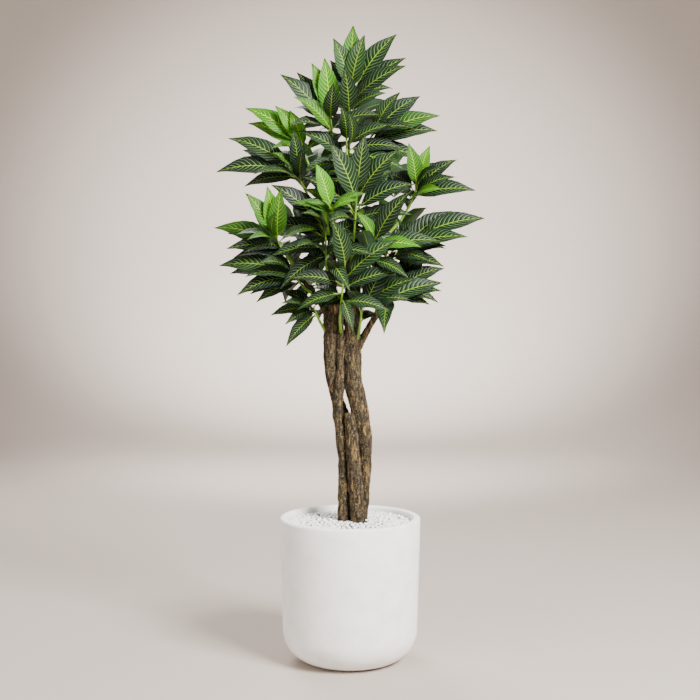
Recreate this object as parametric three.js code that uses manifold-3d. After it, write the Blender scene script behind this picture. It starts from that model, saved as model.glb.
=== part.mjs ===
// A potted guava tree: four woody trunks wound round each other, leafy green shoots,
// a bed of white pebbles over potting mix, and a round white planter.
// Millimetres, +Z up. The origin is the middle of the planter's flat underside and -Y is the front.
import * as THREE from 'three';
import { mergeVertices } from 'three/addons/utils/BufferGeometryUtils.js';
import Module from 'manifold-3d';

const wasm = await Module();
wasm.setup();

// Planter
const potHeight = 367;
const potRimRadius = 178.5;
const potShoulderRadius = 174.5;
const potCornerRadius = 80;
const potWall = 20;
const potFloor = 26;
const rimRounding = 7;
const potSides = 36;
const arcSteps = 2;

// Filling
const fitGap = 0.4;
const mixTop = 324;
const pebbleEdgeTop = 353;
const pebbleMiddleTop = 362;
const moundRadius = 70;

// Wood
const barkSides = 10;
const trunkSteps = 16;
const branchSteps = 6;

// Shoots and leaves
const stemSides = 5;
const stemSteps = 5;
const stemFootRadius = 4.6;
const stemHeadRadius = 3.6;
const coreTipRadius = 2.2;
const goldenAngle = 137.5 * Math.PI / 180;
const leafSides = 4;
const bladeStations = [0, 0.38, 0.72];
const leafWidths = [0, 0.12, 1, 0.76, 0];
const leafThickness = [0, 2.6, 2.6, 2.2, 0];
const longestBlade = 158;
const shortestPetiole = 0.1;
const leafSlenderness = 0.34;
const leafFold = 0.17;
const tipLeafArch = 0.1;
const fillLeafArch = 0.13;
const clearStart = 0.08;
const clearance = 0.6;

const barkColour = '#7b6141';
const stemColour = '#86ab33';
const leafColour = '#1d4634';
const youngLeafColour = '#57983a';

const up = new THREE.Vector3(0, 0, 1);
const tree = new THREE.Group();

// --- Solids ---------------------------------------------------------------------------

function solidOf(geometry) {
  const bare = geometry.clone();
  bare.deleteAttribute('normal');
  bare.deleteAttribute('uv');
  const merged = mergeVertices(bare, 1e-4);
  const mesh = new wasm.Mesh({
    numProp: 3,
    vertProperties: new Float32Array(merged.attributes.position.array),
    triVerts: new Uint32Array(merged.index.array),
  });
  return new wasm.Manifold(mesh);
}

function geometryOf(solid) {
  const mesh = solid.getMesh();
  const geometry = new THREE.BufferGeometry();
  geometry.setAttribute('position', new THREE.BufferAttribute(mesh.vertProperties, 3));
  geometry.setIndex(new THREE.BufferAttribute(mesh.triVerts, 1));
  return geometry;
}

function largestPiece(solid) {
  const pieces = solid.decompose();
  pieces.sort((one, other) => other.volume() - one.volume());
  return pieces[0];
}

function boxOf(solid) {
  const bounds = solid.boundingBox();
  return new THREE.Box3(new THREE.Vector3(...bounds.min), new THREE.Vector3(...bounds.max));
}

function addNode(name, solid, colour, roughness) {
  const material = new THREE.MeshStandardMaterial({ color: colour, roughness, metalness: 0 });
  const mesh = new THREE.Mesh(geometryOf(solid), material);
  mesh.name = name;
  tree.add(mesh);
}

// A closed cylinder bent along a curve, with its radius given along the way.
function limb(curve, radiusAt, sides, steps) {
  const geometry = new THREE.CylinderGeometry(1, 1, 1, sides, steps);
  const frames = curve.computeFrenetFrames(steps);
  const position = geometry.attributes.position;
  const point = new THREE.Vector3();
  for (let index = 0; index < position.count; index += 1) {
    const step = Math.round((position.getY(index) + 0.5) * steps);
    const radius = radiusAt(step / steps);
    curve.getPointAt(step / steps, point);
    point.addScaledVector(frames.normals[step], position.getZ(index) * radius);
    point.addScaledVector(frames.binormals[step], position.getX(index) * radius);
    position.setXYZ(index, point.x, point.y, point.z);
  }
  return solidOf(geometry);
}

function smoothCurve(points) {
  return new THREE.CatmullRomCurve3(points.map((place) => new THREE.Vector3(...place)), false, 'centripetal');
}

// Radius read from a short list spread evenly along a limb.
function radiusFrom(radii) {
  return (share) => {
    const place = share * (radii.length - 1);
    const before = Math.min(Math.floor(place), radii.length - 2);
    return THREE.MathUtils.lerp(radii[before], radii[before + 1], place - before);
  };
}

// --- Planter, potting mix and pebbles --------------------------------------------------

// A closed profile of radius and height, turned about the planter's upright axis.
function turned(profile) {
  return solidOf(new THREE.LatheGeometry(profile, potSides).rotateX(Math.PI / 2));
}

function innerProfile(shrink, top) {
  const corner = potCornerRadius - potWall;
  const reach = potShoulderRadius - potWall - shrink;
  const path = new THREE.Path();
  path.moveTo(0, potFloor + shrink);
  path.lineTo(reach - corner, potFloor + shrink);
  path.absarc(reach - corner, potFloor + shrink + corner, corner, -Math.PI / 2, 0, false);
  const rise = (top - potFloor) / (potHeight - potFloor);
  path.lineTo(reach + (potRimRadius - potShoulderRadius) * rise, top);
  return path.getPoints(arcSteps);
}

function pot() {
  const corner = potCornerRadius;
  const outer = new THREE.Path();
  outer.moveTo(0, 0);
  outer.lineTo(potShoulderRadius - corner, 0);
  outer.absarc(potShoulderRadius - corner, corner, corner, -Math.PI / 2, 0, false);
  outer.lineTo(potRimRadius, potHeight - rimRounding);
  outer.absarc(potRimRadius - rimRounding, potHeight - rimRounding, rimRounding, 0, Math.PI / 2, false);
  outer.lineTo(potRimRadius - potWall + rimRounding, potHeight);
  const inner = innerProfile(0, potHeight - rimRounding).reverse();
  return turned([...outer.getPoints(arcSteps), ...inner]);
}

function pottingMix() {
  const side = innerProfile(fitGap, mixTop);
  return turned([...side, new THREE.Vector2(0, mixTop)]);
}

function pebbleBed() {
  const foot = innerProfile(fitGap, mixTop + fitGap).at(-1);
  const edge = innerProfile(fitGap, pebbleEdgeTop).at(-1);
  const profile = [
    new THREE.Vector2(0, mixTop + fitGap),
    foot,
    edge,
    new THREE.Vector2(moundRadius, pebbleMiddleTop - 2),
    new THREE.Vector2(0, pebbleMiddleTop),
  ];
  return turned(profile);
}

// --- Wood ------------------------------------------------------------------------------

// Each limb runs from its foot to its head. Later limbs give way to the ones before them.
const wood = [
  {
    name: 'trunk_right',
    steps: trunkSteps,
    points: [
      [24, 22, 120], [28, 20, 342], [34, 16, 410], [37, 8, 500], [36, 2, 560], [32, -2, 606], [20, -6, 655],
      [8, -6, 705], [6, -4, 780], [5, 0, 870], [6, 4, 940], [0, 2, 1060], [-3, -2, 1180],
    ],
    radii: [17.5, 17, 16, 16, 17, 20, 24.5, 24, 22, 19, 16, 11, 6.5],
  },
  {
    name: 'trunk_left',
    steps: trunkSteps,
    points: [
      [-8, 30, 120], [-4, 30, 342], [-4, 30, 470], [-8, 28, 590], [-24, 20, 640], [-42, 6, 700],
      [-50, -2, 770], [-49, 0, 850], [-49, 4, 930], [-48, 12, 1030], [-46, 20, 1120],
    ],
    radii: [15.5, 14.5, 13.5, 13.5, 15, 16.5, 17.5, 18, 18, 12.5, 6.5],
  },
  {
    name: 'trunk_middle',
    steps: trunkSteps,
    points: [
      [-17, 2, 120], [-17, 0, 342], [-16, -2, 410], [-17, -3, 455], [-18, -4, 503], [-20, -5, 553],
      [-30, -8, 606], [-33, -12, 640], [-26, -13, 690], [-23, -8, 770], [-22, -2, 850], [-21, 3, 920],
    ],
    radii: [16.5, 17.5, 16.5, 15, 13, 12.5, 13, 12.5, 13, 13.5, 13, 10],
  },
  {
    name: 'trunk_front',
    steps: trunkSteps,
    points: [
      [20, -12, 120], [21, -14, 342], [17, -14, 410], [12, -16, 470],
      [8, -16, 530], [4, -15, 590], [1, -13, 632],
    ],
    radii: [19.5, 19.5, 18.5, 18, 18.5, 18.5, 16],
  },
  {
    name: 'branch_right',
    steps: branchSteps,
    points: [[10, 0, 770], [26, -4, 808], [48, -8, 848], [66, -10, 880]],
    radii: [10, 10, 9, 8.5],
  },
  {
    name: 'branch_left',
    steps: branchSteps,
    points: [[-54, 0, 870], [-78, -16, 915], [-108, -30, 952], [-128, -34, 978]],
    radii: [8, 7.5, 6.5, 6],
  },
  {
    name: 'branch_back_left',
    steps: branchSteps,
    points: [[-52, 6, 880], [-66, 42, 935], [-84, 78, 990], [-92, 92, 1040]],
    radii: [8, 7.5, 6.5, 5.5],
  },
  {
    name: 'branch_back_right',
    steps: branchSteps,
    points: [[8, 2, 860], [32, 36, 910], [58, 66, 965], [70, 84, 1020]],
    radii: [8, 7.5, 6.5, 5.5],
  },
  {
    name: 'branch_back_middle',
    steps: branchSteps,
    points: [[2, 2, 1040], [2, 34, 1090], [-2, 62, 1130], [-4, 74, 1170]],
    radii: [7, 6.5, 6, 5.5],
  },
];

// --- Shoots ----------------------------------------------------------------------------

// foot: where the stem leaves the wood; neck to head: the leafy top of the stem.
// tips: where its outer leaves end; fill: how many more leaves stand round it, and their length.
// face: which way its leaves turn their upper side, besides up. young: a fresh, bright shoot.
// short: the stem is too short to part from its leaves, so both are one piece.
const front = [0, -1, 0];
const back = [0, 1, 0];
const shoots = [
  {
    name: 'upper_left', foot: [-46, 10, 1100], neck: [-42, -22, 1306], head: [-50, -34, 1384],
    face: front,
    tips: [
      [-94, -60, 1506], [-62, -70, 1516], [-114, -20, 1494], [-176, -40, 1473], [-150, -80, 1420],
    ],
    fill: 6, fillLength: 140,
  },
  {
    name: 'centre', short: true, foot: [-3, -2, 1166], neck: [-4, -4, 1200], head: [-10, -8, 1330],
    face: front,
    tips: [
      [-28, -80, 1400], [106, -40, 1356], [134, -30, 1300], [138, -60, 1240], [-134, -50, 1336],
      [-122, -70, 1236], [108, -90, 1176], [-84, -100, 1150],
    ],
    fill: 6, fillLength: 150,
  },
  {
    name: 'top', foot: [-10, -8, 1322], neck: [-6, -8, 1352], head: [2, -6, 1462],
    face: front,
    tips: [
      [8, -10, 1604], [-48, -20, 1572], [48, -14, 1576], [-36, 30, 1524], [116, -26, 1582], [136, -44, 1524],
      [144, -70, 1494], [92, -20, 1440], [28, -100, 1486],
    ],
    fill: 5, fillLength: 140,
  },
  {
    name: 'left_bright', foot: [-48, 14, 1060], neck: [-104, -24, 1256], head: [-124, -30, 1308],
    face: front, young: true,
    tips: [[-258, -40, 1400], [-184, -60, 1404], [-254, -16, 1364], [-162, -30, 1394], [-104, -70, 1412]],
    fill: 5, fillLength: 120,
  },
  {
    name: 'left_dark', foot: [-52, 8, 990], neck: [-114, -30, 1196], head: [-140, -40, 1244],
    face: front,
    tips: [
      [-300, -50, 1322], [-328, -70, 1240], [-188, -100, 1284], [-262, -40, 1204], [-270, 20, 1300],
      [-60, -90, 1290],
    ],
    fill: 6, fillLength: 150,
  },
  {
    name: 'front_bright', foot: [-10, -4, 970], neck: [-40, -118, 1110], head: [-48, -128, 1142],
    face: front, young: true,
    tips: [
      [-82, -156, 1254], [18, -160, 1164], [-108, -160, 1160], [-66, -170, 1160],
    ],
    fill: 4, fillLength: 110,
  },
  {
    name: 'left_young', foot: [-124, -34, 978], neck: [-164, -92, 1040], head: [-184, -112, 1074],
    face: front, young: true,
    tips: [[-250, -150, 1180], [-198, -150, 1200], [-164, -170, 1190], [-246, -120, 1150]],
    fill: 5, fillLength: 120,
  },
  {
    name: 'front_middle', foot: [2, -2, 1010], neck: [8, -58, 1050], head: [18, -94, 1190],
    face: front,
    tips: [
      [36, -130, 1322], [120, -120, 1290], [-60, -130, 1306], [158, -100, 1210], [-116, -120, 1226],
      [150, -110, 1130], [-112, -120, 1130], [134, -100, 1040], [-96, -130, 1020],
    ],
    fill: 3, fillLength: 150,
  },
  {
    name: 'front_left', foot: [-50, 8, 960], neck: [-58, -60, 992], head: [-60, -92, 1100],
    face: front,
    tips: [
      [-190, -130, 1204], [-150, -120, 1180], [-198, -130, 1112], [58, -130, 1166], [20, -130, 1210],
      [-192, -110, 1030], [64, -120, 1066], [-170, -110, 956], [20, -120, 950],
    ],
    fill: 5, fillLength: 150,
  },
  {
    name: 'front_low', foot: [-22, -10, 832], neck: [-24, -66, 884], head: [-12, -108, 1010],
    face: front,
    tips: [
      [-70, -150, 1140], [40, -150, 1146], [-140, -140, 1060], [112, -130, 1070], [-150, -120, 980],
      [116, -110, 990], [-130, -100, 900], [8, -120, 846], [98, -100, 900],
    ],
    fill: 2, fillLength: 145,
  },
  {
    name: 'left_middle', short: true,
    foot: [-122, -32, 972], neck: [-142, -36, 1010], head: [-170, -40, 1056],
    face: front,
    tips: [
      [-328, -50, 1126], [-306, -20, 1094], [-312, -80, 1052], [-150, -80, 1160], [-240, -90, 1140],
    ],
    fill: 6, fillLength: 150,
  },
  {
    name: 'left_low', short: true, foot: [-92, -22, 932], neck: [-116, -50, 950], head: [-150, -60, 990],
    face: front,
    tips: [
      [-322, -80, 1010], [-298, -40, 992], [-280, -90, 940], [-236, -110, 938], [-232, -60, 916],
    ],
    fill: 5, fillLength: 150,
  },
  {
    name: 'trunk_left_low', short: true, foot: [-54, -6, 826], neck: [-78, -20, 868], head: [-92, -26, 900],
    face: front,
    tips: [[-198, -50, 884], [-166, -80, 862], [-140, -20, 850], [-162, -50, 810], [-150, 40, 830]],
    fill: 5, fillLength: 130,
  },
  {
    name: 'upper_right', foot: [-2, 2, 1150], neck: [26, 6, 1270], head: [62, 4, 1344],
    face: front,
    tips: [
      [122, -30, 1438], [158, -10, 1446], [184, -40, 1438], [222, -30, 1384], [208, -60, 1350],
      [70, -90, 1260], [170, -70, 1280],
    ],
    fill: 6, fillLength: 150,
  },
  {
    name: 'right', foot: [4, 4, 1010], neck: [148, -8, 1150], head: [172, -12, 1212],
    face: front,
    tips: [
      [198, -30, 1308], [144, -50, 1312], [170, 10, 1300], [266, -30, 1276],
      [264, -60, 1226], [312, -40, 1196], [222, -110, 1190],
    ],
    fill: 6, fillLength: 130,
  },
  {
    name: 'right_low_stem', short: true, foot: [18, -14, 815], neck: [24, -30, 846], head: [34, -44, 926],
    face: front,
    tips: [
      [150, -60, 924], [172, -74, 980], [232, -70, 964], [112, -90, 1044],
    ],
    fill: 4, fillLength: 140,
  },
  {
    name: 'right_front', foot: [34, -44, 918], neck: [46, -66, 980], head: [62, -100, 1080],
    face: front,
    tips: [
      [14, -130, 1138], [160, -120, 1184], [172, -130, 1056], [206, -110, 1110], [-44, -140, 1100],
      [150, -110, 980], [70, -150, 1190],
    ],
    fill: 4, fillLength: 130,
  },
  {
    name: 'right_wide', foot: [64, -10, 876], neck: [88, -6, 990], head: [112, -6, 1050],
    face: front,
    tips: [
      [336, -30, 1128], [296, -60, 1078], [218, -90, 1056], [196, -110, 1020], [240, 30, 1010],
      [60, -90, 1150], [260, -20, 1150],
    ],
    fill: 6, fillLength: 160,
  },
  {
    name: 'right_low', short: true, foot: [57, -9, 862], neck: [92, 8, 900], head: [118, 14, 948],
    face: front,
    tips: [
      [238, 0, 1006], [250, 40, 1050], [200, -30, 910], [230, -20, 950],
    ],
    fill: 6, fillLength: 140,
  },
  {
    name: 'back_top', foot: [-8, 2, 1240], neck: [0, 70, 1340], head: [4, 84, 1400],
    face: back,
    tips: [], fill: 11, fillLength: 150,
  },
  {
    name: 'back_upper_left', foot: [-46, 18, 1080], neck: [-76, 100, 1200], head: [-88, 120, 1262],
    face: back,
    tips: [], fill: 11, fillLength: 155,
  },
  {
    name: 'back_upper_right', foot: [-2, 70, 1160], neck: [70, 110, 1180], head: [88, 128, 1240],
    face: back,
    tips: [], fill: 11, fillLength: 155,
  },
  {
    name: 'back_left', foot: [-90, 90, 1030], neck: [-120, 130, 1060], head: [-140, 150, 1110],
    face: back,
    tips: [], fill: 11, fillLength: 155,
  },
  {
    name: 'back_right', foot: [68, 82, 1010], neck: [110, 128, 1040], head: [130, 148, 1090],
    face: back,
    tips: [], fill: 11, fillLength: 155,
  },
  {
    name: 'back_middle', foot: [-4, 72, 1160], neck: [-8, 140, 1110], head: [-10, 175, 1130],
    face: back,
    tips: [], fill: 11, fillLength: 150,
  },
  {
    name: 'back_low_left', foot: [-76, 62, 966], neck: [-84, 120, 950], head: [-92, 148, 975],
    face: back,
    tips: [], fill: 11, fillLength: 145,
  },
  {
    name: 'back_low_right', foot: [50, 56, 946], neck: [54, 118, 930], head: [60, 148, 955],
    face: back,
    tips: [], fill: 11, fillLength: 145,
  },
];

// --- Leaves ----------------------------------------------------------------------------

// A leaf is a four-sided sphere drawn out into a folded blade that is pointed at both ends.
// Round each of its rings stand a margin, the upper midrib, the other margin and the lower midrib.
function leafSolid(leaf, start, extra) {
  const length = leaf.base.distanceTo(leaf.tip);
  const petiole = Math.max(shortestPetiole, 1 - longestBlade / length);
  const width = length * (1 - petiole) * leafSlenderness;
  const leafStations = [0, ...bladeStations.map((share) => petiole + (1 - petiole) * share), 1];
  const steps = leafStations.length - 1;
  const geometry = new THREE.SphereGeometry(1, leafSides, steps);
  const chord = leaf.tip.clone().sub(leaf.base);
  const alongChord = leaf.normal.dot(chord) / chord.lengthSq();
  const arch = leaf.normal.clone().addScaledVector(chord, -alongChord).normalize();
  const middle = leaf.base.clone().addScaledVector(chord, 0.5).addScaledVector(arch, length * leaf.arch * 2);
  const curve = new THREE.QuadraticBezierCurve3(leaf.base, middle, leaf.tip);
  const position = geometry.attributes.position;
  for (let index = 0; index < position.count; index += 1) {
    const height = THREE.MathUtils.clamp(position.getY(index), -1, 1);
    const step = Math.round(Math.acos(-height) / Math.PI * steps);
    const share = Math.max(leafStations[step], start);
    const point = curve.getPoint(share);
    const along = curve.getTangent(share);
    const side = new THREE.Vector3().crossVectors(along, arch).normalize();
    const above = new THREE.Vector3().crossVectors(side, along);
    const halfWidth = width * leafWidths[step] / 2 + extra;
    const across = Math.round(position.getX(index));
    const over = Math.round(position.getZ(index));
    point.addScaledVector(side, across * halfWidth);
    point.addScaledVector(above, Math.abs(across) * halfWidth * leafFold * 2);
    point.addScaledVector(above, over * (leafThickness[step] / 2 + extra));
    position.setXYZ(index, point.x, point.y, point.z);
  }
  return solidOf(geometry);
}

const clearedObstacles = [];

function addObstacle(solid) {
  clearedObstacles.push({ solid, box: boxOf(solid) });
}

function isClear(solid) {
  const box = boxOf(solid);
  return clearedObstacles.every((other) => {
    if (!other.box.intersectsBox(box)) {
      return true;
    }
    return other.solid.intersect(solid).isEmpty();
  });
}

// Small turns of the tip about the leaf's base, tried in order until the leaf clears its neighbours.
const turns = [0, 6, -6, 12, -12, 18, -18, 25, -25, 33, -33, 42, -42];
const lifts = [0, 7, -7, 14, -14, 22, -22, 30];

function settledLeaf(leaf, turnAxis) {
  for (const lift of lifts) {
    for (const turn of turns) {
      const reach = leaf.tip.clone().sub(leaf.base);
      const lean = new THREE.Vector3().crossVectors(reach, up).normalize();
      reach.applyAxisAngle(lean, THREE.MathUtils.degToRad(lift));
      reach.applyAxisAngle(turnAxis, THREE.MathUtils.degToRad(turn));
      const tried = { ...leaf, tip: leaf.base.clone().add(reach) };
      const fat = leafSolid(tried, clearStart, clearance);
      if (isClear(fat)) {
        addObstacle(fat);
        return tried;
      }
    }
  }
  return null;
}

function leavesOf(shoot, neck, head) {
  const face = new THREE.Vector3(...shoot.face);
  const stem = head.clone().sub(neck);
  const stemUp = stem.clone().normalize();
  const normal = up.clone().multiplyScalar(0.6).addScaledVector(face, 0.8).normalize();
  const leaves = [];
  shoot.tips.forEach((place, index) => {
    const share = 0.15 + 0.8 * (shoot.tips.length - index) / (shoot.tips.length + 1);
    const leaf = {
      base: neck.clone().addScaledVector(stem, shoot.young ? 0.35 + share * 0.6 : share),
      tip: new THREE.Vector3(...place),
      normal,
      arch: tipLeafArch,
    };
    leaves.push({ leaf, turnAxis: up });
  });
  const startAngle = Math.atan2(face.y, face.x) + Math.PI;
  for (let index = 0; index < shoot.fill; index += 1) {
    const share = (index + 0.5) / shoot.fill;
    const angle = startAngle + index * goldenAngle;
    const outward = new THREE.Vector3(Math.cos(angle), Math.sin(angle), 0);
    const tilt = THREE.MathUtils.degToRad(95 - 55 * share);
    const upward = stemUp.clone().multiplyScalar(Math.cos(tilt));
    const reach = upward.addScaledVector(outward, Math.sin(tilt)).normalize();
    const base = neck.clone().addScaledVector(stem, 0.05 + 0.9 * share);
    const fillNormal = up.clone().multiplyScalar(0.7).addScaledVector(face, 0.5);
    const leaf = {
      base,
      tip: base.clone().addScaledVector(reach, shoot.fillLength * (1.05 - 0.25 * share)),
      normal: fillNormal.addScaledVector(outward, 0.3).normalize(),
      arch: fillLeafArch,
    };
    leaves.push({ leaf, turnAxis: stemUp });
  }
  return leaves;
}

// --- Build -----------------------------------------------------------------------------

const woodSolids = [];
const woodFat = [];
for (const piece of wood) {
  const curve = smoothCurve(piece.points);
  let solid = limb(curve, radiusFrom(piece.radii), barkSides, piece.steps);
  for (const earlier of woodFat) {
    solid = solid.subtract(earlier);
  }
  woodSolids.push(largestPiece(solid));
  const fatRadii = piece.radii.map((radius) => radius + fitGap);
  woodFat.push(limb(curve, radiusFrom(fatRadii), barkSides, piece.steps));
}

let mix = pottingMix();
let bed = pebbleBed();
for (const fat of woodFat) {
  mix = mix.subtract(fat);
  bed = bed.subtract(fat);
  addObstacle(fat);
}

addNode('pot', pot(), '#eceae6', 0.75);
addNode('potting_mix', largestPiece(mix), '#4b3a2c', 0.95);
addNode('pebble_bed', largestPiece(bed), '#e9e7e3', 0.7);
wood.forEach((piece, index) => addNode(piece.name, woodSolids[index], barkColour, 0.9));

const grown = shoots.map((shoot) => {
  const foot = new THREE.Vector3(...shoot.foot);
  const neck = new THREE.Vector3(...shoot.neck);
  const head = new THREE.Vector3(...shoot.head);
  const rise = head.clone().sub(neck).normalize();
  const sag = neck.clone().sub(foot).length() * 0.3;
  const below = neck.clone().addScaledVector(rise, -sag);
  const path = new THREE.QuadraticBezierCurve3(foot, below, neck);
  const stemRadius = (share) => THREE.MathUtils.lerp(stemFootRadius, stemHeadRadius, share);
  const stem = limb(path, stemRadius, stemSides, stemSteps);
  const stemFat = limb(path, (share) => stemRadius(share) + fitGap, stemSides, stemSteps);
  const corePath = new THREE.LineCurve3(neck.clone().addScaledVector(rise, fitGap), head);
  const coreRadius = (share) => THREE.MathUtils.lerp(stemHeadRadius, coreTipRadius, share);
  const core = limb(corePath, coreRadius, stemSides, 1);
  const coreFat = limb(corePath, (share) => coreRadius(share) + fitGap, stemSides, 1);
  return { shoot, neck, head, stem, stemFat, core, coreFat };
});

// Stems give way to the wood and to the stems and cores before them.
const stemsBefore = [...woodFat];
for (const plant of grown) {
  for (const earlier of stemsBefore) {
    plant.stem = plant.stem.subtract(earlier);
  }
  plant.stem = largestPiece(plant.stem);
  stemsBefore.push(plant.stemFat, plant.coreFat);
  if (!plant.shoot.short) {
    addNode(`stem_${plant.shoot.name}`, plant.stem, stemColour, 0.6);
  }
  addObstacle(plant.stemFat);
  addObstacle(plant.coreFat);
}

// Each whorl gives way to the leaves of the shoots before it, with the same gap.
const leavesBefore = [];
for (const plant of grown) {
  const ownLeaves = [];
  let whorl = plant.core;
  if (plant.shoot.short) {
    const joint = new THREE.LineCurve3(
      plant.neck.clone().lerp(plant.head, -0.05),
      plant.neck.clone().lerp(plant.head, 0.05),
    );
    whorl = whorl.add(limb(joint, () => stemHeadRadius, stemSides, 1)).add(plant.stem);
  }
  for (const { leaf, turnAxis } of leavesOf(plant.shoot, plant.neck, plant.head)) {
    const settled = settledLeaf(leaf, turnAxis);
    if (settled) {
      whorl = whorl.add(leafSolid(settled, 0, 0));
      ownLeaves.push(leafSolid(settled, 0, fitGap));
    }
  }
  for (const other of stemsBefore) {
    const isOwn = other === plant.coreFat || (plant.shoot.short && other === plant.stemFat);
    if (!isOwn) {
      whorl = whorl.subtract(other);
    }
  }
  const whorlBox = boxOf(whorl);
  for (const other of leavesBefore) {
    if (boxOf(other).intersectsBox(whorlBox)) {
      whorl = whorl.subtract(other);
    }
  }
  leavesBefore.push(...ownLeaves);
  const colour = plant.shoot.young ? youngLeafColour : leafColour;
  addNode(`leaves_${plant.shoot.name}`, largestPiece(whorl), colour, 0.45);
}

export default tree;
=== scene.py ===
import math
import random

import bmesh
import bpy
from mathutils import Matrix, Vector, noise
from mathutils.bvhtree import BVHTree


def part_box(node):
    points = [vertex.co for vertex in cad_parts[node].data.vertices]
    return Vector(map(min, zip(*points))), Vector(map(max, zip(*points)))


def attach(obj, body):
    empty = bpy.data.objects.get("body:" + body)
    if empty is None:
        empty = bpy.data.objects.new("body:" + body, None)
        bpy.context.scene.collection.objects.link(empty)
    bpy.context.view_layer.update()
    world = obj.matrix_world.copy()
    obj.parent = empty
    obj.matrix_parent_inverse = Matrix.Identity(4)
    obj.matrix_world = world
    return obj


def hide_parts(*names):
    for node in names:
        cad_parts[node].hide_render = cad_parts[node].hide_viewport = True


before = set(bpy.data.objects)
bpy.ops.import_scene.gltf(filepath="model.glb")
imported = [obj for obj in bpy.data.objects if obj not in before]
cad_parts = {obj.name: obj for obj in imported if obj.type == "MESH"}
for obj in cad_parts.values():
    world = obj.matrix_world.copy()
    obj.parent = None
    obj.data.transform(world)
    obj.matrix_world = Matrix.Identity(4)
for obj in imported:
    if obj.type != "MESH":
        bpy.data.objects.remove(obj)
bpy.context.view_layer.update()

mm = 0.001
chance = random.Random(7)
scene = bpy.context.scene


def linearColour(hexColour):
    channels = []
    for place in (1, 3, 5):
        value = int(hexColour[place:place + 2], 16) / 255
        channels.append(value / 12.92 if value <= 0.04045 else ((value + 0.055) / 1.055) ** 2.4)
    return (*channels, 1.0)


def deselectAll():
    if bpy.context.object and bpy.context.object.mode != "OBJECT":
        bpy.ops.object.mode_set(mode="OBJECT")
    bpy.ops.object.select_all(action="DESELECT")


def makeActive(piece):
    deselectAll()
    piece.select_set(True)
    bpy.context.view_layer.objects.active = piece


def applyModifier(piece, kind, **settings):
    makeActive(piece)
    modifier = piece.modifiers.new(kind.lower(), kind)
    for name, value in settings.items():
        setattr(modifier, name, value)
    bpy.ops.object.modifier_apply(modifier=modifier.name)


def selectVerts(piece, test):
    mesh = bmesh.from_edit_mesh(piece.data)
    for vert in mesh.verts:
        vert.select = test(vert.co)
    mesh.select_flush_mode()
    bmesh.update_edit_mesh(piece.data)


def mergedCopy(nodeName, pieceName):
    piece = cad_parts[nodeName].copy()
    piece.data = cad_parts[nodeName].data.copy()
    piece.name = pieceName
    piece.data.name = pieceName
    piece.parent = None
    for key in list(piece.keys()):
        del piece[key]
    piece.data.materials.clear()
    scene.collection.objects.link(piece)
    makeActive(piece)
    bpy.ops.object.mode_set(mode="EDIT")
    bpy.ops.mesh.select_all(action="SELECT")
    bpy.ops.mesh.remove_doubles(threshold=0.02 * mm)
    bpy.ops.object.mode_set(mode="OBJECT")
    return piece


def finishPiece(piece, material, nodeNames):
    if material:
        piece.data.materials.clear()
        piece.data.materials.append(material)
    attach(piece, "root")
    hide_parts(*nodeNames)


camera = {"distance": 3.2, "height": 0.96, "lookAt": 0.79, "focal": 65.3}
studio = {
    "wallColour": "#b8aca2", "floorRadius": 4.2, "coveRadius": 3.4, "wallHeight": 8.0, "coveSteps": 14,
    "key": {"place": (2.0, -2.3, 2.6), "size": 1.3, "power": 470},
    "fill": {"place": (-2.4, -2.4, 1.6), "size": 2.4, "power": 60},
    "back": {"place": (-1.2, 2.6, 2.8), "size": 1.8, "power": 150},
    "wallSpot": {"place": (0, 2.0, 3.0), "aim": (0, 7.4, 0.9), "power": 3600, "spread": 68},
    "coveSpot": {"place": (0, 1.2, 2.6), "aim": (0, 4.2, 0), "power": 1100, "spread": 64},
    "skyColour": "#f2eeea", "skyStrength": 0.8,
}


def addCamera():
    data = bpy.data.cameras.new("camera")
    data.lens = camera["focal"]
    viewer = bpy.data.objects.new("camera", data)
    viewer.location = (0, -camera["distance"], camera["height"])
    aim = Vector((0, 0, camera["lookAt"])) - viewer.location
    viewer.rotation_euler = aim.to_track_quat("-Z", "Y").to_euler()
    scene.collection.objects.link(viewer)
    scene.camera = viewer


def addSoftLight(name, settings):
    data = bpy.data.lights.new(name, "AREA")
    data.size = settings["size"]
    data.energy = settings["power"]
    lamp = bpy.data.objects.new(name, data)
    lamp.location = settings["place"]
    aim = Vector((0, 0, 0.9)) - lamp.location
    lamp.rotation_euler = aim.to_track_quat("-Z", "Y").to_euler()
    scene.collection.objects.link(lamp)


def addSpot(name, settings):
    # brightens the backdrop behind the tree, and points away from the tree
    data = bpy.data.lights.new(name, "SPOT")
    data.energy = settings["power"]
    data.spot_size = math.radians(settings["spread"])
    data.spot_blend = 1
    data.shadow_soft_size = 0.3
    lamp = bpy.data.objects.new(name, data)
    lamp.location = settings["place"]
    aim = Vector(settings["aim"]) - lamp.location
    lamp.rotation_euler = aim.to_track_quat("-Z", "Y").to_euler()
    scene.collection.objects.link(lamp)


def addNode(material, kind, settings=None, links=None):
    node = material.node_tree.nodes.new("ShaderNode" + kind)
    for name, value in (settings or {}).items():
        if name == "stops":
            elements = node.color_ramp.elements
            while len(elements) < len(value):
                elements.new(0.5)
            for element, (place, colour) in zip(elements, value):
                element.position, element.color = place, linearColour(colour)
        elif isinstance(name, int) or name in node.inputs:
            node.inputs[name].default_value = linearColour(value) if isinstance(value, str) else value
        else:
            setattr(node, name, value)
    for name, source in (links or {}).items():
        material.node_tree.links.new(source, node.inputs[name])
    return node


def newMaterial(name):
    material = bpy.data.materials.new(name)
    material.use_nodes = True
    material.node_tree.nodes.clear()
    shader = addNode(material, "BsdfPrincipled")
    output = addNode(material, "OutputMaterial")
    material.node_tree.links.new(shader.outputs["BSDF"], output.inputs["Surface"])
    return material, shader


def plug(material, shader, links):
    for name, source in links.items():
        material.node_tree.links.new(source, shader.inputs[name])


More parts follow.
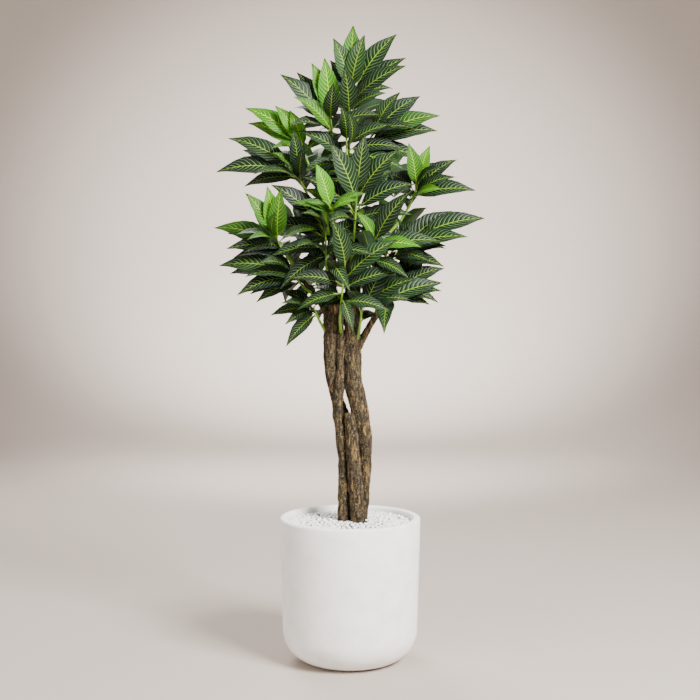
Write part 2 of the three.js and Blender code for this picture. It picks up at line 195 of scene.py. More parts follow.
def addStage():
    # a round floor whose edge curves up into the wall, so that no horizon shows from any side
    cove = studio["coveRadius"]
    deselectAll()
    bpy.ops.mesh.primitive_circle_add(vertices=96, radius=studio["floorRadius"], fill_type="NGON",
                                      location=(0, 0, 0))
    sweep = bpy.context.object
    sweep.name = "studioSweep"
    bpy.ops.object.mode_set(mode="EDIT")
    bpy.ops.mesh.select_mode(type="EDGE")
    bpy.ops.mesh.select_all(action="SELECT")
    bpy.ops.mesh.region_to_loop()
    radius, height = studio["floorRadius"], 0.0
    for step in range(1, studio["coveSteps"] + 2):
        angle = min(step / studio["coveSteps"], 1) * math.pi / 2
        nextRadius = studio["floorRadius"] + cove * math.sin(angle)
        nextHeight = cove * (1 - math.cos(angle)) if step <= studio["coveSteps"] else studio["wallHeight"]
        bpy.ops.mesh.extrude_edges_move(TRANSFORM_OT_translate={"value": (0, 0, nextHeight - height)})
        ratio = nextRadius / radius
        bpy.ops.transform.resize(value=(ratio, ratio, 1), center_override=(0, 0, nextHeight))
        radius, height = nextRadius, nextHeight
    bpy.ops.object.mode_set(mode="OBJECT")
    bpy.ops.object.shade_smooth()
    material, shader = newMaterial("mattStudioPaint")  # matt paint: even and without gloss
    shader.inputs["Base Color"].default_value = linearColour(studio["wallColour"])
    shader.inputs["Roughness"].default_value = 0.95
    shader.inputs["Specular IOR Level"].default_value = 0.1
    sweep.data.materials.append(material)
    world = bpy.data.worlds.new("studioAir")
    world.use_nodes = True
    sky = world.node_tree.nodes["Background"]
    sky.inputs["Color"].default_value = linearColour(studio["skyColour"])
    sky.inputs["Strength"].default_value = studio["skyStrength"]
    scene.world = world


deselectAll()
addCamera()
for lampName in ("key", "fill", "back"):
    addSoftLight(lampName + "Light", studio[lampName])
for lampName in ("wallSpot", "coveSpot"):
    addSpot(lampName, studio[lampName])
addStage()
print("camera, light and floor ready")


# Fibre cement, cast and painted matt off-white: faint cloudy mottling and fine pits.
cement = {"light": "#f6f4f1", "shade": "#e2dfd9", "cloud": 45 * mm, "grain": 2.2 * mm, "roughness": 0.78}


def cementMaterial():
    material, shader = newMaterial("paintedFibreCement")
    place = addNode(material, "TexCoord").outputs["Object"]
    cloud = addNode(material, "TexNoise", {"Scale": 1 / cement["cloud"], "Detail": 5, "Roughness": 0.65},
                    {"Vector": place})
    grain = addNode(material, "TexNoise", {"Scale": 1 / cement["grain"], "Detail": 2}, {"Vector": place})
    blend = addNode(material, "Math", {"operation": "MULTIPLY_ADD", 1: 0.7, 2: 0.12}, {0: cloud.outputs["Fac"]})
    both = addNode(material, "Math", {"operation": "MULTIPLY_ADD", 1: 0.22}, {0: grain.outputs["Fac"]})
    material.node_tree.links.new(blend.outputs[0], both.inputs[2])
    colour = addNode(material, "ValToRGB", {"stops": [(0.3, cement["shade"]), (0.62, cement["light"])]},
                     {"Fac": both.outputs[0]}).outputs["Color"]
    bump = addNode(material, "Bump", {"Strength": 0.25, "Distance": 0.4 * mm}, {"Height": grain.outputs["Fac"]})
    rough = addNode(material, "MapRange", {"To Min": cement["roughness"] - 0.08, "To Max": cement["roughness"] + 0.08},
                    {"Value": cloud.outputs["Fac"]})
    plug(material, shader, {"Base Color": colour, "Normal": bump.outputs["Normal"],
                            "Roughness": rough.outputs["Result"]})
    shader.inputs["Specular IOR Level"].default_value = 0.35
    return material


# Tumbled white marble: each pebble has its own tone, and a faint grey vein.
marble = {"light": "#faf9f7", "dark": "#d3d0cb", "vein": 6 * mm, "roughness": 0.5}


def marbleMaterial():
    material, shader = newMaterial("tumbledMarble")
    place = addNode(material, "TexCoord").outputs["Object"]
    vein = addNode(material, "TexNoise", {"Scale": 1 / marble["vein"], "Detail": 3}, {"Vector": place})
    tone = addNode(material, "Attribute", {"attribute_name": "pebbleTone"})
    mixed = addNode(material, "Math", {"operation": "MULTIPLY_ADD", 1: 0.35}, {0: vein.outputs["Fac"]})
    material.node_tree.links.new(tone.outputs["Fac"], mixed.inputs[2])
    colour = addNode(material, "ValToRGB", {"stops": [(0.15, marble["dark"]), (0.75, marble["light"])]},
                     {"Fac": mixed.outputs[0]}).outputs["Color"]
    plug(material, shader, {"Base Color": colour})
    shader.inputs["Roughness"].default_value = marble["roughness"]
    return material


# Crushed gravel under the pebbles, in their shade: its plain dark grey is painted shade for the gaps between the
# pebbles.
def gravelMaterial():
    material, shader = newMaterial("shadedGravel")
    place = addNode(material, "TexCoord").outputs["Object"]
    grit = addNode(material, "TexNoise", {"Scale": 1 / (5 * mm), "Detail": 4}, {"Vector": place})
    # both near-black stops are painted shade
    colour = addNode(material, "ValToRGB", {"stops": [(0.35, "#12110f"), (0.8, "#4a4742")]},
                     {"Fac": grit.outputs["Fac"]}).outputs["Color"]
    plug(material, shader, {"Base Color": colour})
    shader.inputs["Roughness"].default_value = 0.9
    return material


# Peat and bark potting mix: dark crumbs.
def peatMaterial():
    material, shader = newMaterial("pottingPeat")
    place = addNode(material, "TexCoord").outputs["Object"]
    crumb = addNode(material, "TexNoise", {"Scale": 1 / (6 * mm), "Detail": 5}, {"Vector": place})
    colour = addNode(material, "ValToRGB", {"stops": [(0.35, "#20160f"), (0.7, "#5d4634")]},
                     {"Fac": crumb.outputs["Fac"]}).outputs["Color"]
    bump = addNode(material, "Bump", {"Strength": 0.8, "Distance": 2 * mm}, {"Height": crumb.outputs["Fac"]})
    plug(material, shader, {"Base Color": colour, "Normal": bump.outputs["Normal"]})
    shader.inputs["Roughness"].default_value = 0.95
    return material


# Guava bark, furrowed and flaking: painted shade darkens the sunken relief, between tan ridges and golden flakes where
# the bark has lifted.
bark = {
    # the furrow colour is painted shade for the sunken relief
    "furrow": "#0d0905", "brown": "#2b2418", "tan": "#51442b", "gold": "#937240", "fleck": "#a98d5e",
    "streakWide": 3.4 * mm, "streakLong": 12 * mm, "flake": 9 * mm, "goldShare": 0.7,
    "fleckSize": 2.4 * mm, "fleckShare": 0.6, "roughness": 0.85,
}


def barkMaterial():
    material, shader = newMaterial("furrowedBark")
    place = addNode(material, "TexCoord").outputs["Object"]
    along = addNode(material, "Mapping", {"Scale": (1, 1, bark["streakWide"] / bark["streakLong"])}, {"Vector": place})
    streak = addNode(material, "TexNoise", {"Scale": 1 / bark["streakWide"], "Detail": 5, "Roughness": 0.65,
                                            "Distortion": 0.8}, {"Vector": along.outputs["Vector"]})
    flake = addNode(material, "TexNoise", {"Scale": 1 / bark["flake"], "Detail": 4, "Roughness": 0.6},
                    {"Vector": along.outputs["Vector"]})
    fleck = addNode(material, "TexNoise", {"Scale": 1 / bark["fleckSize"], "Detail": 2}, {"Vector": place})
    # the furrow attribute is low where the relief is sunken, and this material paints shade there
    furrow = addNode(material, "Attribute", {"attribute_name": "furrow"})
    depth = addNode(material, "Math", {"operation": "MULTIPLY_ADD", 1: 0.25}, {0: furrow.outputs["Fac"]})
    # darker where the bump is low: more painted shade in the hollows
    shade = addNode(material, "Math", {"operation": "MULTIPLY", 1: 0.9}, {0: streak.outputs["Fac"]})
    material.node_tree.links.new(shade.outputs[0], depth.inputs[2])
    # the dark furrow end of this ramp is painted shade; brown, tan and gold are the bark's own colours
    reliefShadeStops = [(0.42, bark["furrow"]), (0.56, bark["brown"]), (0.70, bark["tan"]), (0.84, bark["gold"])]
    base = addNode(material, "ValToRGB", {"stops": reliefShadeStops}, {"Fac": depth.outputs[0]}).outputs["Color"]
    lifted = addNode(material, "ValToRGB", {"stops": [(0.6, "#000000"), (0.68, "#ffffff")]},
                     {"Fac": flake.outputs["Fac"]}).outputs["Color"]
    flakePart = addNode(material, "Math", {"operation": "MULTIPLY", 1: bark["goldShare"]}, {0: lifted})
    golden = addNode(material, "MixRGB", {"Color2": bark["gold"]},
                     {"Fac": flakePart.outputs[0], "Color1": base}).outputs["Color"]
    specks = addNode(material, "ValToRGB", {"stops": [(0.62, "#000000"), (0.68, "#ffffff")]},
                     {"Fac": fleck.outputs["Fac"]}).outputs["Color"]
    fleckPart = addNode(material, "Math", {"operation": "MULTIPLY", 1: bark["fleckShare"]}, {0: specks})
    colour = addNode(material, "MixRGB", {"Color2": bark["fleck"]},
                     {"Fac": fleckPart.outputs[0], "Color1": golden}).outputs["Color"]
    bump = addNode(material, "Bump", {"Strength": 0.9, "Distance": 1.6 * mm}, {"Height": streak.outputs["Fac"]})
    plug(material, shader, {"Base Color": colour, "Normal": bump.outputs["Normal"]})
    shader.inputs["Roughness"].default_value = bark["roughness"]
    shader.inputs["Specular IOR Level"].default_value = 0.3
    return material


# Green shoot: smooth waxy skin, yellow-green.
shootSkin = {"green": "#4d7d12", "pale": "#77a31f", "mottle": 18 * mm, "roughness": 0.45}


def shootMaterial():
    material, shader = newMaterial("waxyShoot")
    place = addNode(material, "TexCoord").outputs["Object"]
    mottle = addNode(material, "TexNoise", {"Scale": 1 / shootSkin["mottle"], "Detail": 3}, {"Vector": place})
    colour = addNode(material, "ValToRGB", {"stops": [(0.35, shootSkin["green"]), (0.7, shootSkin["pale"])]},
                     {"Fac": mottle.outputs["Fac"]}).outputs["Color"]
    plug(material, shader, {"Base Color": colour})
    shader.inputs["Roughness"].default_value = shootSkin["roughness"]
    return material


# Leaf: a waxy cuticle over dark tissue, with sunken pale veins in a herringbone.
leafSkin = {
    "dark": "#020c07", "deep": "#0a2112", "vein": "#7a8a68", "midrib": "#7a9a30",
    "youngDark": "#1f5f06", "youngLight": "#4f8f0c", "youngVein": "#9cc83c", "youngMidrib": "#b0d42c",
    "underside": "#16301c", "youngUnderside": "#3f7a14",
    "veinCount": 12.5, "veinRise": 0.2, "veinWidth": 0.11, "midribWidth": 0.04, "roughness": 0.42, "specular": 0.2,
}


def leafPattern(material):
    uv = addNode(material, "UVMap", {"uv_map": "leafUv"})
    parts = addNode(material, "SeparateXYZ", links={"Vector": uv.outputs["UV"]})
    fromMiddle = addNode(material, "Math", {"operation": "SUBTRACT", 1: 0.5}, {0: parts.outputs["X"]})
    aside = addNode(material, "Math", {"operation": "ABSOLUTE"}, {0: fromMiddle.outputs[0]})
    across = addNode(material, "Math", {"operation": "MULTIPLY", 1: 2.0}, {0: aside.outputs[0]})
    sideSign = addNode(material, "Math", {"operation": "SIGN"}, {0: fromMiddle.outputs[0]})
    bend = addNode(material, "Math", {"operation": "POWER", 1: 1.35}, {0: across.outputs[0]})
    rise = addNode(material, "Math", {"operation": "MULTIPLY", 1: -leafSkin["veinRise"]}, {0: bend.outputs[0]})
    start = addNode(material, "Math", {"operation": "ADD"}, {0: parts.outputs["Y"], 1: rise.outputs[0]})
    counted = addNode(material, "Math", {"operation": "MULTIPLY", 1: leafSkin["veinCount"]}, {0: start.outputs[0]})
    shifted = addNode(material, "Math", {"operation": "MULTIPLY_ADD", 1: 0.17}, {0: sideSign.outputs[0]})
    material.node_tree.links.new(counted.outputs[0], shifted.inputs[2])
    fromVein = addNode(material, "Math", {"operation": "PINGPONG", 1: 0.5}, {0: shifted.outputs[0]})
    # the veins thin out towards the margin
    width = addNode(material, "MapRange", {"From Min": 0.0, "From Max": 1.0, "To Min": leafSkin["veinWidth"],
                                           "To Max": leafSkin["veinWidth"] * 0.25}, {"Value": across.outputs[0]})
    vein = addNode(material, "MapRange", {"To Min": 1.0, "To Max": 0.0, "interpolation_type": "SMOOTHSTEP"},
                   {"Value": fromVein.outputs[0], "From Max": width.outputs["Result"]})
    # the midrib is widest at the foot of the blade
    toTip = addNode(material, "Math", {"operation": "SUBTRACT", 0: 1.0}, {1: parts.outputs["Y"]})
    foot = addNode(material, "Math", {"operation": "POWER", 1: 24.0}, {0: toTip.outputs[0]})
    ribWidth = addNode(material, "Math", {"operation": "MULTIPLY_ADD", 1: 1.0, 2: leafSkin["midribWidth"]},
                       {0: foot.outputs[0]})
    ribInner = addNode(material, "Math", {"operation": "MULTIPLY", 1: 0.5}, {0: ribWidth.outputs[0]})
    midrib = addNode(material, "MapRange", {"To Min": 1.0, "To Max": 0.0, "interpolation_type": "SMOOTHSTEP"},
                     {"Value": across.outputs[0], "From Min": ribInner.outputs[0], "From Max": ribWidth.outputs[0]})
    return {"vein": vein.outputs["Result"], "midrib": midrib.outputs["Result"], "across": across.outputs[0],
            "fromVein": fromVein.outputs[0]}


def leafMaterial():
    material, shader = newMaterial("waxyLeaf")
    pattern = leafPattern(material)
    tint = addNode(material, "SeparateColor", links={
        "Color": addNode(material, "Attribute", {"attribute_name": "leafTint"}).outputs["Color"]})
    age, tone = tint.outputs["Red"], tint.outputs["Green"]
    place = addNode(material, "TexCoord").outputs["Object"]
    cloud = addNode(material, "TexNoise", {"Scale": 1 / (30 * mm), "Detail": 3}, {"Vector": place})
    deepness = addNode(material, "Math", {"operation": "MULTIPLY_ADD", 1: 0.7, 2: -0.1}, {0: cloud.outputs["Fac"]})
    toned = addNode(material, "Math", {"operation": "MULTIPLY_ADD", 1: 0.45, "use_clamp": True}, {0: tone})
    material.node_tree.links.new(deepness.outputs[0], toned.inputs[2])
    old = addNode(material, "MixRGB", {"Color1": leafSkin["dark"], "Color2": leafSkin["deep"]},
                  {"Fac": toned.outputs[0]}).outputs["Color"]
    young = addNode(material, "MixRGB", {"Color1": leafSkin["youngDark"], "Color2": leafSkin["youngLight"]},
                    {"Fac": toned.outputs[0]}).outputs["Color"]
    blade = addNode(material, "MixRGB", links={"Fac": age, "Color1": old, "Color2": young}).outputs["Color"]
    veinColour = addNode(material, "MixRGB", {"Color1": leafSkin["vein"], "Color2": leafSkin["youngVein"]},
                         {"Fac": age}).outputs["Color"]
    ribColour = addNode(material, "MixRGB", {"Color1": leafSkin["midrib"], "Color2": leafSkin["youngMidrib"]},
                        {"Fac": age}).outputs["Color"]
    nearRib = addNode(material, "MapRange", {"From Min": 0.1, "From Max": 0.55}, {"Value": pattern["across"]})
    veinShade = addNode(material, "MixRGB", links={
        "Fac": nearRib.outputs["Result"], "Color1": ribColour, "Color2": veinColour}).outputs["Color"]
    veined = addNode(material, "MixRGB",
                     links={"Fac": pattern["vein"], "Color1": blade, "Color2": veinShade}).outputs["Color"]
    colour = addNode(material, "MixRGB",
                     links={"Fac": pattern["midrib"], "Color1": veined, "Color2": ribColour}).outputs["Color"]
    puff = addNode(material, "MapRange", {"From Max": 0.5, "interpolation_type": "SMOOTHSTEP"},
                   {"Value": pattern["fromVein"]})
    bump = addNode(material, "Bump", {"Strength": 0.6, "Distance": 1.2 * mm}, {"Height": puff.outputs["Result"]})
    rough = addNode(material, "MapRange", {"To Min": leafSkin["roughness"], "To Max": leafSkin["roughness"] + 0.16},
                    {"Value": cloud.outputs["Fac"]})
    plug(material, shader, {"Base Color": colour, "Normal": bump.outputs["Normal"],
                            "Roughness": rough.outputs["Result"]})
    shader.inputs["Specular IOR Level"].default_value = leafSkin["specular"]
    return material


# Leaf underside: duller and paler than the top, with a raised midrib.
def undersideMaterial():
    material, shader = newMaterial("dullLeafUnderside")
    pattern = leafPattern(material)
    tint = addNode(material, "SeparateColor", links={
        "Color": addNode(material, "Attribute", {"attribute_name": "leafTint"}).outputs["Color"]})
    blade = addNode(material, "MixRGB", {"Color1": leafSkin["underside"], "Color2": leafSkin["youngUnderside"]},
                    {"Fac": tint.outputs["Red"]}).outputs["Color"]
    faint = addNode(material, "Math", {"operation": "MULTIPLY", 1: 0.4}, {0: pattern["vein"]})
    veined = addNode(material, "MixRGB", {"Color2": leafSkin["vein"]},
                     {"Fac": faint.outputs[0], "Color1": blade}).outputs["Color"]
    colour = addNode(material, "MixRGB", {"Color2": leafSkin["midrib"]},
                     {"Fac": pattern["midrib"], "Color1": veined}).outputs["Color"]
    plug(material, shader, {"Base Color": colour})
    shader.inputs["Roughness"].default_value = 0.6
    return material


finish = {
    "cement": cementMaterial(), "marble": marbleMaterial(), "gravel": gravelMaterial(), "peat": peatMaterial(),
    "bark": barkMaterial(), "shoot": shootMaterial(), "leaf": leafMaterial(), "underside": undersideMaterial(),
}
print("materials ready")


planter = {
    "wall": 20 * mm, "floor": 26 * mm, "cornerRadius": 80 * mm, "shoulderRadius": 171 * mm,
    "rimRounding": 7 * mm, "sides": 128, "cornerSteps": 12, "rimSteps": 5,
}


def arcPoints(centre, radius, fromAngle, toAngle, steps):
    points = []
    for step in range(steps + 1):
        angle = math.radians(fromAngle + (toAngle - fromAngle) * step / steps)
        points.append((centre[0] + radius * math.cos(angle), centre[1] + radius * math.sin(angle)))
    return points


def buildPlanter():
    low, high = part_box("pot")
    rimRadius, top = high.x, high.z
    corner, wall, rounding = planter["cornerRadius"], planter["wall"], planter["rimRounding"]
    shoulder = planter["shoulderRadius"]
    profile = arcPoints((shoulder - corner, corner), corner, -90, 0, planter["cornerSteps"])
    profile += [(shoulder + (rimRadius - shoulder) * share, corner + (top - rounding - corner) * share)
                for share in (0.25, 0.5, 0.75)]
    profile += arcPoints((rimRadius - rounding, top - rounding), rounding, 0, 90, planter["rimSteps"])
    profile += arcPoints((rimRadius - wall + rounding, top - rounding), rounding, 90, 180, planter["rimSteps"])
    innerCorner = corner - wall
    reach = shoulder - wall
    profile += [(reach + (rimRadius - shoulder) * 0.5, top * 0.6)]
    profile += arcPoints((reach - innerCorner, planter["floor"] + innerCorner), innerCorner, 0, -90, 6)
    deselectAll()
    bpy.ops.mesh.primitive_circle_add(vertices=planter["sides"], radius=profile[0][0], fill_type="NGON",
                                      location=(0, 0, profile[0][1]))
    pot = bpy.context.object
    pot.name = "planter"
    bpy.ops.object.transform_apply(location=True, rotation=True, scale=True)
    bpy.ops.object.mode_set(mode="EDIT")
    bpy.ops.mesh.select_mode(type="EDGE")
    bpy.ops.mesh.select_all(action="SELECT")
    bpy.ops.mesh.region_to_loop()
    for (oldRadius, oldHeight), (radius, height) in zip(profile, profile[1:]):
        bpy.ops.mesh.extrude_edges_move(TRANSFORM_OT_translate={"value": (0, 0, height - oldHeight)})
        ratio = radius / oldRadius
        bpy.ops.transform.resize(value=(ratio, ratio, 1), center_override=(0, 0, height))
    bpy.ops.mesh.edge_face_add()
    bpy.ops.mesh.select_all(action="SELECT")
    bpy.ops.mesh.normals_make_consistent(inside=False)
    bpy.ops.object.mode_set(mode="OBJECT")
    bpy.ops.object.shade_smooth_by_angle(angle=math.radians(40))
    finishPiece(pot, finish["cement"], ["pot"])


buildPlanter()
print("planter built")


barkRelief = {
    "trunkVoxel": 1.9 * mm, "branchVoxel": 1.5 * mm, "smoothing": 16,
    "lump": 45 * mm, "lumpDepth": 3 * mm, "furrow": 8 * mm, "furrowDepth": 2.6 * mm, "stretch": 0.3,
}
knots = {  # places and radii of the small knots, in mm
    "trunk_front": [(5, -31, 606, 5.5), (22, -33, 372, 5)],
    "trunk_right": [(24, -26, 690, 4.5), (14, -24, 800, 5)],
    "trunk_left": [(-58, -17, 812, 5), (-52, -18, 905, 6)],
    "trunk_middle": [(-24, -19, 470, 4.5), (-32, -24, 652, 4)],
}
woodNames = sorted(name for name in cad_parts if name.startswith(("trunk", "branch")))
woodPieces = {}


def ridged(value):
    return 1 - min(abs(value) * 2.2, 1)


def buildLimb(nodeName):
    isTrunk = nodeName.startswith("trunk")
    limb = mergedCopy(nodeName, nodeName + "Bark")
    for x, y, z, radius in knots.get(nodeName, []):
        bpy.ops.mesh.primitive_ico_sphere_add(subdivisions=2, radius=radius * mm, location=(x * mm, y * mm, z * mm))
        knot = bpy.context.object
        makeActive(limb)
        knot.select_set(True)
        bpy.ops.object.join()
    voxel = barkRelief["trunkVoxel"] if isTrunk else barkRelief["branchVoxel"]
    applyModifier(limb, "REMESH", mode="VOXEL", voxel_size=voxel)
    applyModifier(limb, "SMOOTH", factor=0.5, iterations=barkRelief["smoothing"])
    share = 1.0 if isTrunk else 0.6
    furrows = []
    moves = []
    for vert in limb.data.vertices:
        place = vert.co
        lump = noise.noise(place / barkRelief["lump"])
        stretched = Vector((place.x, place.y, place.z * barkRelief["stretch"])) / barkRelief["furrow"]
        ridge = ridged(noise.noise(stretched)) * 0.65 + ridged(noise.noise(stretched * 2.3)) * 0.35
        furrows.append(1 - ridge)
        rise = lump * barkRelief["lumpDepth"] + (0.6 - ridge) * barkRelief["furrowDepth"]
        moves.append(vert.normal * (rise * share))
    for vert, move in zip(limb.data.vertices, moves):
        vert.co += move
    # this attribute is lowest where the relief is sunken, and the bark material paints shade there
    attribute = limb.data.attributes.new("furrow", "FLOAT", "POINT")
    attribute.data.foreach_set("value", furrows)
    makeActive(limb)
    bpy.ops.object.shade_smooth()
    finishPiece(limb, finish["bark"], [nodeName])
    woodPieces[nodeName] = limb


for woodName in woodNames:
    buildLimb(woodName)
print("bark raised on", len(woodNames), "limbs")


pebbles = {
    "count": 1000, "least": 4.2 * mm, "most": 7.2 * mm, "middleRise": 9 * mm, "edgeDrop": 5 * mm,
    "flatness": (0.62, 0.9), "masters": 6, "bedDrop": 5 * mm,
}


def pebbleMasters():
    masters = []
    for index in range(pebbles["masters"]):
        deselectAll()
        bpy.ops.mesh.primitive_cube_add(size=1.2, location=(0, 0, 0))
        master = bpy.context.object
        bpy.ops.object.mode_set(mode="EDIT")
        bpy.ops.mesh.subdivide(number_cuts=1, smoothness=0)
        bpy.ops.transform.tosphere(value=0.85)
        bpy.ops.transform.vertex_random(offset=0.09, seed=index + 1)
        bpy.ops.object.mode_set(mode="OBJECT")
        masters.append(master)
    return masters


def buildPebbles():
    low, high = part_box("pebble_bed")
    reach = high.x
    bed = mergedCopy("pebble_bed", "pebbles")
    for vert in bed.data.vertices:
        if vert.co.z > low.z + 5 * mm:
            vert.co.z -= pebbles["bedDrop"]
    woodTrees = [BVHTree.FromObject(piece, bpy.context.evaluated_depsgraph_get())
                 for name, piece in woodPieces.items() if name.startswith("trunk")]
    masters = pebbleMasters()
    mesh = bmesh.new()
    mesh.from_mesh(bed.data)
    toneLayer = mesh.verts.layers.float.new("pebbleTone")
    # the bed under the pebbles takes the dark gravel slot, painted shade in the gaps
    for face in mesh.faces:
        face.material_index = 1
    placed = {}
    cell = 2 * pebbles["most"]
    made = 0
    for attempt in range(pebbles["count"] * 14):
        if made >= pebbles["count"]:
            break
        size = chance.uniform(pebbles["least"], pebbles["most"])
        angle = chance.uniform(0, math.tau)
        radius = (reach - size * 0.9) * math.sqrt(chance.random())
        x, y = radius * math.cos(angle), radius * math.sin(angle)
        layer = 0 if attempt < pebbles["count"] * 5 else 1
        rise = pebbles["middleRise"] * max(0, 1 - radius / reach) ** 1.3 * 0.55
        z = high.z - pebbles["edgeDrop"] - 4 * mm + rise + layer * 1.6 * mm - 2 * mm
        key = (layer, int(x // cell), int(y // cell))
        near = [other for dx in (-1, 0, 1) for dy in (-1, 0, 1)
                for other in placed.get((layer, key[1] + dx, key[2] + dy), [])]
        if any((x - ox) ** 2 + (y - oy) ** 2 < (0.95 * (size + other)) ** 2 for ox, oy, other in near):
            continue
        spot = Vector((x, y, z))
        if any(tree.find_nearest(spot, size * 0.9)[0] is not None for tree in woodTrees):
            continue
        if math.hypot(x, y) < 0.06 and any(isInside(tree, spot) for tree in woodTrees):
            continue
        placed.setdefault(key, []).append((x, y, size))
        made += 1
        turn = Matrix.Rotation(chance.uniform(0, math.tau), 4, "Z") @ Matrix.Rotation(chance.uniform(-0.5, 0.5), 4, "X")
        shape = Matrix.Diagonal((size * chance.uniform(0.85, 1.15), size,
                                 size * chance.uniform(*pebbles["flatness"]), 1))
        before = len(mesh.verts)
        mesh.from_mesh(chance.choice(masters).data)
        mesh.verts.ensure_lookup_table()
        move = Matrix.Translation(spot) @ turn @ shape
        tone = chance.uniform(0.25, 0.75)
        for vert in mesh.verts[before:]:
            vert.co = move @ vert.co
            vert[toneLayer] = tone
    mesh.to_mesh(bed.data)
    mesh.free()
    for master in masters:
        bpy.data.objects.remove(master)
    makeActive(bed)
    bpy.ops.object.shade_smooth()
    bed.data.materials.append(finish["marble"])
    bed.data.materials.append(finish["gravel"])
    finishPiece(bed, None, ["pebble_bed"])
    return made


def isInside(tree, spot):
    hit, normal, index, distance = tree.find_nearest(spot)
    return hit is not None and (spot - hit).dot(normal) < 0


print("pebbles laid:", buildPebbles())
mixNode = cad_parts["potting_mix"]
mixNode.data.materials.clear()
mixNode.data.materials.append(finish["peat"])


# The CAD leaf: its longest blade, its shortest petiole and the places of its rings along the blade.
cadLeaf = {"longestBlade": 158 * mm, "shortestPetiole": 0.1, "rings": (0.38, 0.72)}
leafShape = {
    "columns": 4, "rows": 7, "petioleSpan": 0.2, "thickness": 0.006,
    "petioleRadius": 1.5 * mm, "ribDepth": 1.3 * mm, "fold": 0.36, "wave": 2.4 * mm, "widthGain": 1.06, "droop": 9 * mm,
}


def bladeWidth(share):
    # half the blade's width at a share of its length: a long oval that ends in a drip tip
    body = math.sin(math.pi * min(share / 0.94, 1) ** 0.82) ** 0.8
    tail = 0.07 * (1 - share) / 0.12 if share > 0.88 else 0.07
    return max(body, tail, 0.012)


def leafMaster():
    # a flat blade with a petiole of few faces, whose upper and lower sides meet at the margin
    deselectAll()
    rows, petioleSpan = leafShape["rows"], leafShape["petioleSpan"]
    bpy.ops.mesh.primitive_grid_add(x_subdivisions=leafShape["columns"], y_subdivisions=rows, size=1, location=(0, 0, 0))
    leaf = bpy.context.object
    leaf.name = "leafMaster"
    leaf.data.uv_layers[0].name = "leafUv"
    bpy.ops.object.mode_set(mode="EDIT")
    bpy.ops.mesh.select_mode(type="VERT")
    bpy.ops.mesh.select_all(action="SELECT")
    bpy.ops.transform.translate(value=(0, 0.5, 0))
    for row in range(rows + 1):
        share = row / rows
        selectVerts(leaf, lambda place: abs(place.y - share) < 0.2 / rows)
        bpy.ops.transform.resize(value=(bladeWidth(share), 1, 1), center_override=(0, share, 0))
    selectVerts(leaf, lambda place: place.y < 0.2 / rows)
    bpy.ops.mesh.extrude_edges_move(TRANSFORM_OT_translate={"value": (0, -petioleSpan, 0)})
    bpy.ops.mesh.select_all(action="SELECT")
    bpy.ops.mesh.quads_convert_to_tris(quad_method="FIXED")  # so that both sides fold along the same lines
    bpy.ops.object.mode_set(mode="OBJECT")
    leaf.data.materials.append(finish["leaf"])
    leaf.data.materials.append(finish["underside"])
    applyModifier(leaf, "SOLIDIFY", thickness=leafShape["thickness"], offset=-1, material_offset=1, use_rim=False)
    makeActive(leaf)
    bpy.ops.object.mode_set(mode="EDIT")
    selectVerts(leaf, lambda place: abs(place.x) > 0.49 * bladeWidth(max(place.y, 0)) or place.y > 1 - 0.2 / rows
                or place.y < 0.2 / rows - petioleSpan)
    bpy.ops.mesh.remove_doubles(threshold=1.2 * leafShape["thickness"])
    bpy.ops.object.mode_set(mode="OBJECT")
    print("faces of a leaf:", len(leaf.data.polygons))
    return leaf


def ringAround(verts, known):
    found = set()
    for vert in verts:
        for edge in vert.link_edges:
            found.add(edge.other_vert(vert))
    return found - known


def readRing(ring):
    # margins are the two corners furthest apart; the others are the midrib's two faces
    corners = list(ring)
    pairs = [(a, b) for index, a in enumerate(corners) for b in corners[index + 1:]]
    margins = max(pairs, key=lambda pair: (pair[0].co - pair[1].co).length)
    faces = [vert for vert in corners if vert not in margins]
    middle = (faces[0].co + faces[1].co) / 2
    return middle, margins[0].co.copy(), margins[1].co.copy()


def findLeaves(piece):
    mesh = bmesh.new()
    mesh.from_mesh(piece.data)
    leaves = []
    used = set()
    for tip in mesh.verts:
        if len(tip.link_edges) != 4:
            continue
        outer = ringAround([tip], {tip})
        middle = ringAround(outer, outer | {tip})
        if len(outer) != 4 or len(middle) != 4:
            continue
        outerMid, outerA, outerB = readRing(outer)
        midMid, midA, midB = readRing(middle)
        width = (midA - midB).length
        if width < 15 * mm or (tip.co - midMid).length < 30 * mm or (outerA - outerB).length < 10 * mm:
            continue
        inner = ringAround(middle, middle | outer)
        used |= {tip} | outer | middle | (inner if len(inner) == 4 else set())
        side = (midA - midB).normalized()
        fold = (midA + midB) / 2 - midMid
        reach = tip.co - midMid
        upward = side.cross(reach.normalized())
        if upward.dot(fold) < 0:
            side, upward = -side, -upward
        outerSide = (outerA - outerB).normalized()
        if outerSide.dot(side) < 0:
            outerSide = -outerSide
        leaves.append({"middle": midMid.copy(), "outer": outerMid.copy(), "tip": tip.co.copy(), "width": width,
                       "side": side, "outerSide": outerSide})
    bmesh.ops.delete(mesh, geom=list(used), context="VERTS")
    bmesh.ops.holes_fill(mesh, edges=mesh.edges, sides=0)
    mesh.to_mesh(piece.data)
    mesh.free()
    for leaf in leaves:
        addLeafCurve(leaf)
    return leaves


def addLeafCurve(leaf):
    # the midrib is a parabola: start + first * share + second * share^2
    m, o = cadLeaf["rings"]
    middle, outer, tip = leaf["middle"], leaf["outer"], leaf["tip"]
    second = ((tip - middle) / (1 - m) - (outer - middle) / (o - m)) / (1 - o)
    first = (tip - middle) / (1 - m) - second * (1 + m)
    start = tip - first - second
    leaf["start"], leaf["first"], leaf["second"] = start, first, second
    blade = 1 - cadLeaf["shortestPetiole"]
    for turn in range(30):
        back = -(1 - blade) / blade
        reach = (tip - (start + first * back + second * back * back)).length
        blade = min(1 - cadLeaf["shortestPetiole"], cadLeaf["longestBlade"] / reach)
    leaf["back"] = back
    leaf["length"] = (tip - start).length
    leaf["base"] = start + first * back + second * back * back


